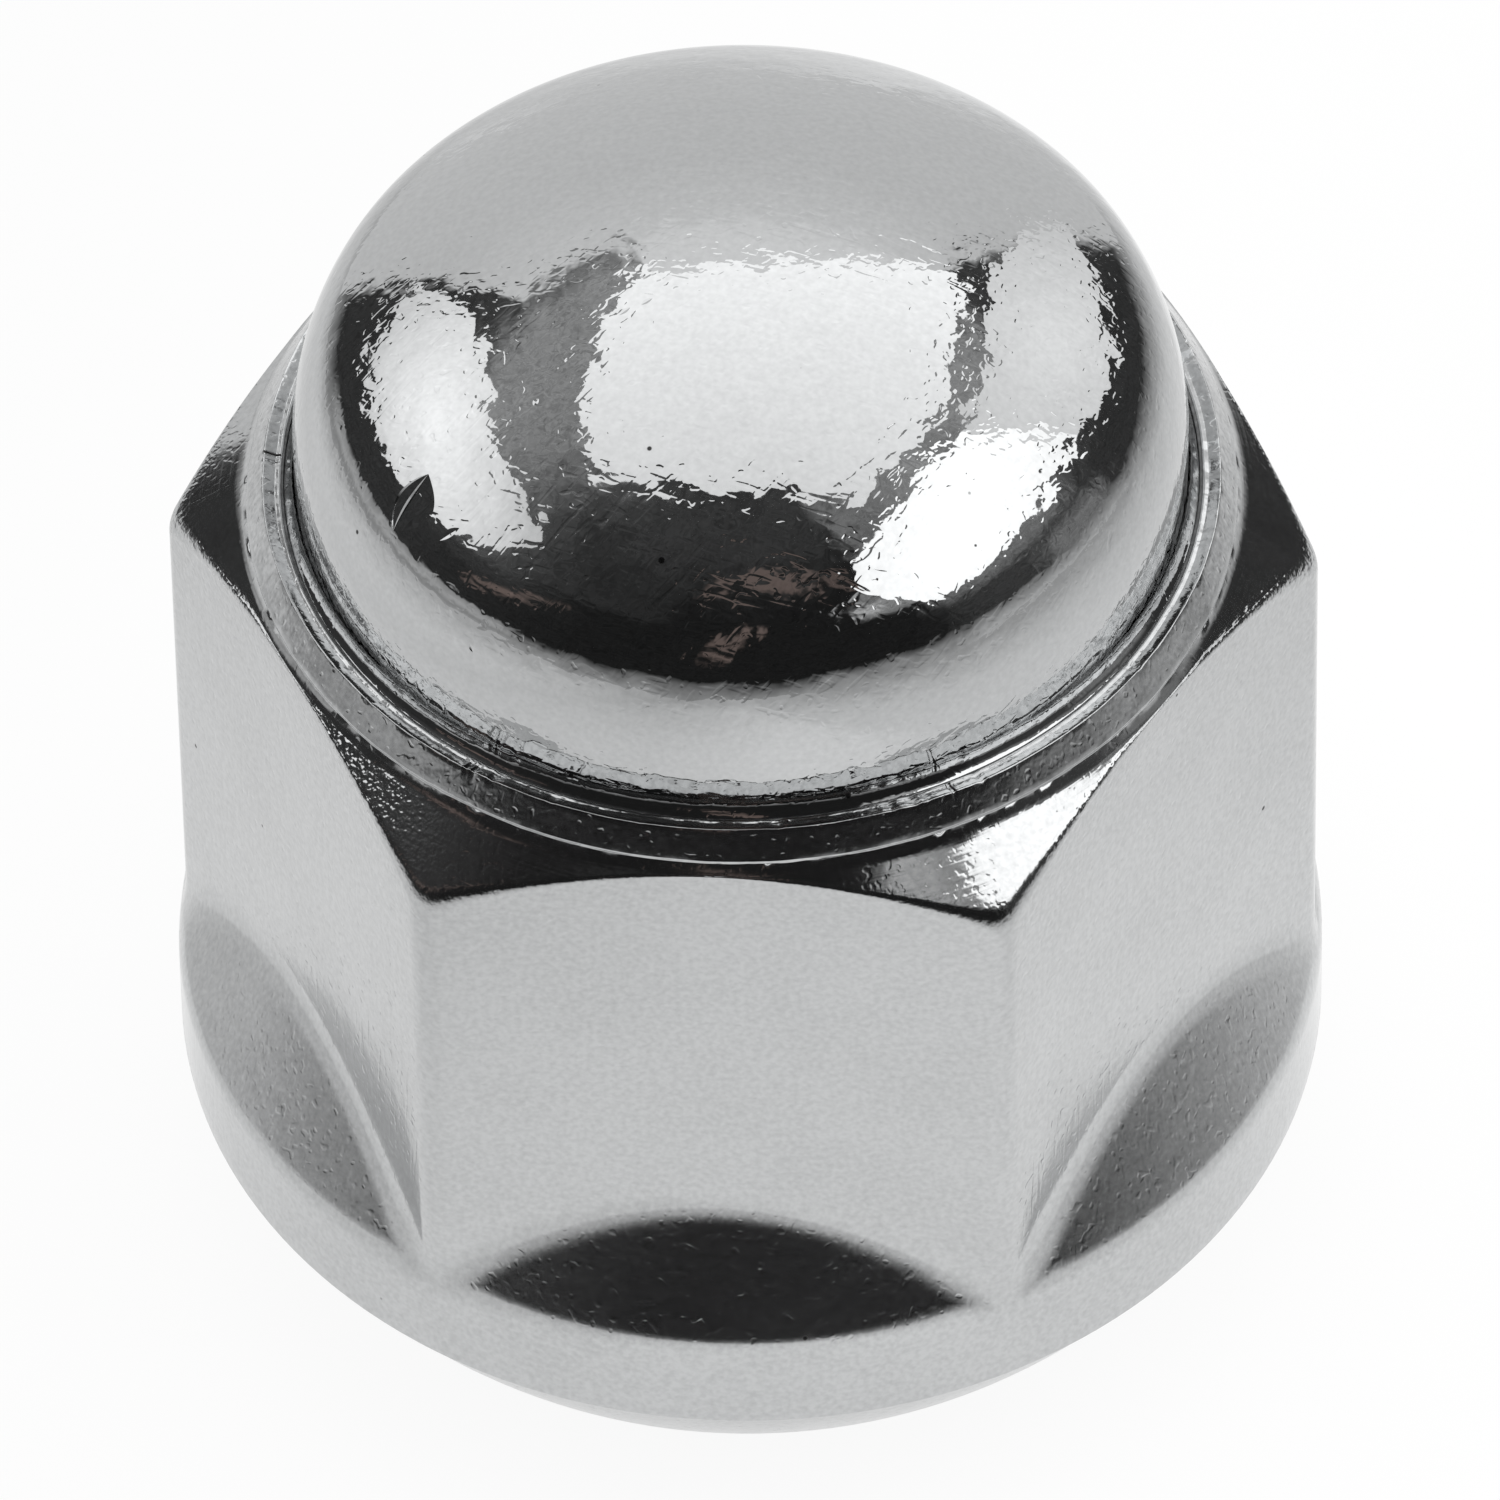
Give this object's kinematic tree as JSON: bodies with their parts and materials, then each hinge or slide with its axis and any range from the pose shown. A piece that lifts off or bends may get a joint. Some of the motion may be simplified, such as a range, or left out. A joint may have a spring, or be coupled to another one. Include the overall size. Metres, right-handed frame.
{
  "type": "lug nut",
  "caption": "Closed ball-seat lug nut: chromed hexagon body with a round collar at the foot and a domed cap under a rolled lip.",
  "frame": {"origin": "centre of the flat end face that points to the wheel, on the thread's axis", "axes": "+Z along the thread's axis from that end face to the top of the dome, one pair of flats square to Y, corners on X"},
  "size_m": [0.022, 0.022, 0.025],
  "materials": {
    "body_chrome": "bright plating over forged and turned steel, fine grain and chipped edges",
    "cap_chrome": "mirror plating over pressed steel, with scratches, pits and a nick"
  },
  "bodies": {
    "root": {"nut_body": "body_chrome", "dome_cap": "cap_chrome"}
  },
  "joints": []
}
